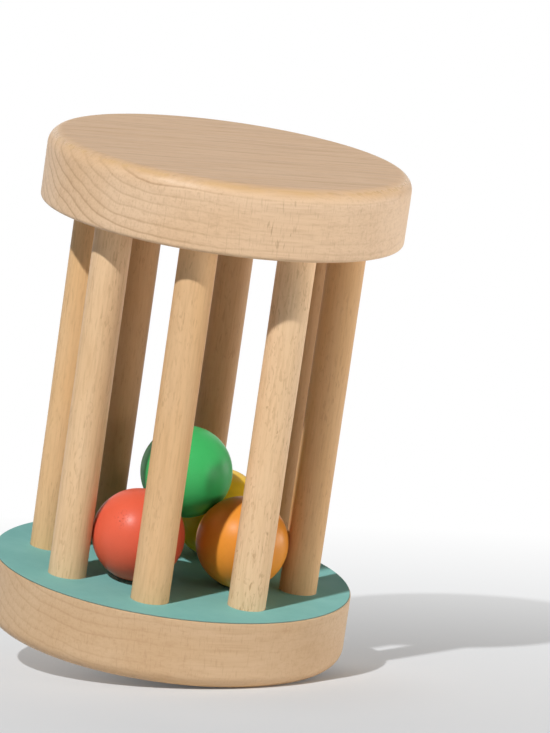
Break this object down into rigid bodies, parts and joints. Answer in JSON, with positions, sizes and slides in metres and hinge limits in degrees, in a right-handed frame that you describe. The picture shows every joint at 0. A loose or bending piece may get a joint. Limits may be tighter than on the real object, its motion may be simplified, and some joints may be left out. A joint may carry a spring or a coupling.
{
  "type": "rattle roller toy",
  "caption": "Wooden baby rattle roller: round end discs joined by a ring of dowels that cages loose painted balls, which run and knock from end to end when it is rolled or tipped.",
  "frame": {"origin": "centre of the lower disc's outer face, on which the roller stands", "axes": "+Z along the roller's axis from the painted disc to the plain disc; +X through the gap in front of the orange ball, -Y through the gap in front of the red ball"},
  "size_m": [0.096, 0.096, 0.1325],
  "materials": {
    "disc_beech": "sanded beech under a thin satin oil",
    "dowel_beech": "sanded beech under a thin satin oil",
    "teal_paint": "satin water-based paint on beech",
    "red_paint": "satin water-based paint on beech",
    "yellow_paint": "satin water-based paint on beech",
    "orange_paint": "satin water-based paint on beech",
    "green_paint": "satin water-based paint on beech"
  },
  "bodies": {
    "cage": {"lower_disc": "disc_beech", "upper_disc": "disc_beech", "lower_face_paint": "teal_paint", "dowel_1": "dowel_beech", "dowel_2": "dowel_beech", "dowel_3": "dowel_beech", "dowel_4": "dowel_beech", "dowel_5": "dowel_beech", "dowel_6": "dowel_beech", "dowel_7": "dowel_beech", "dowel_8": "dowel_beech"},
    "red_ball": {"red_ball": "red_paint"},
    "yellow_ball": {"yellow_ball": "yellow_paint"},
    "orange_ball": {"orange_ball": "orange_paint"},
    "green_ball": {"green_ball": "green_paint"}
  },
  "joints": [
    {"name": "green_ball_travel", "type": "slide", "parent": "cage", "child": "green_ball", "axis": [0, 0, 1], "range_m": [0, 0.0563]},
    {"name": "red_ball_travel", "type": "slide", "parent": "cage", "child": "red_ball", "axis": [0, 0, 1], "range_m": [0, 0.0563]},
    {"name": "yellow_ball_travel", "type": "slide", "parent": "cage", "child": "yellow_ball", "axis": [0, 0, 1], "range_m": [0, 0.0563]},
    {"name": "orange_ball_travel", "type": "slide", "parent": "cage", "child": "orange_ball", "axis": [0, 0, 1], "range_m": [0, 0.0563]}
  ],
  "couplings": [
    {"joint": "red_ball_travel", "follows": "green_ball_travel", "ratio": 1},
    {"joint": "yellow_ball_travel", "follows": "green_ball_travel", "ratio": 1},
    {"joint": "orange_ball_travel", "follows": "green_ball_travel", "ratio": 1}
  ]
}
